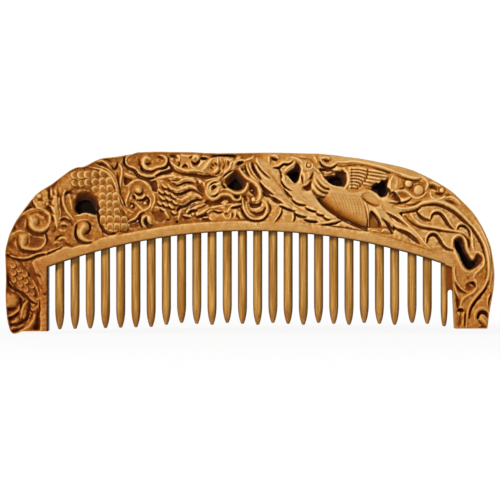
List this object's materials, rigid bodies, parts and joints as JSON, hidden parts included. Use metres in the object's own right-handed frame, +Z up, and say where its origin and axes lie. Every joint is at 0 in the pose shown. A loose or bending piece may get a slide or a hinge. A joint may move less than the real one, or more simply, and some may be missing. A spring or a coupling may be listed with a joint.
{
  "type": "decorative hair comb",
  "caption": "Carved wooden hair comb: an arched, pierced board with dragon and phoenix relief, guard ends and round tapered teeth set in sockets.",
  "frame": {"origin": "on the ground under the middle of the comb, midway through its thickness", "axes": "+X along the comb to the phoenix end, +Y through the board to the rear face, +Z up with the teeth pointing down"},
  "size_m": [0.18, 0.01, 0.0668],
  "materials": {
    "carved_wood": "hand-carved, waxed, darker in the recesses",
    "tooth_wood": "whittled and sanded, waxed"
  },
  "bodies": {
    "root": {"back": "carved_wood", "tooth_01": "tooth_wood", "tooth_02": "tooth_wood", "tooth_03": "tooth_wood", "tooth_04": "tooth_wood", "tooth_05": "tooth_wood", "tooth_06": "tooth_wood", "tooth_07": "tooth_wood", "tooth_08": "tooth_wood", "tooth_09": "tooth_wood", "tooth_10": "tooth_wood", "tooth_11": "tooth_wood", "tooth_12": "tooth_wood", "tooth_13": "tooth_wood", "tooth_14": "tooth_wood", "tooth_15": "tooth_wood", "tooth_16": "tooth_wood", "tooth_17": "tooth_wood", "tooth_18": "tooth_wood", "tooth_19": "tooth_wood", "tooth_20": "tooth_wood", "tooth_21": "tooth_wood", "tooth_22": "tooth_wood", "tooth_23": "tooth_wood", "tooth_24": "tooth_wood", "tooth_25": "tooth_wood", "tooth_26": "tooth_wood"}
  },
  "joints": []
}
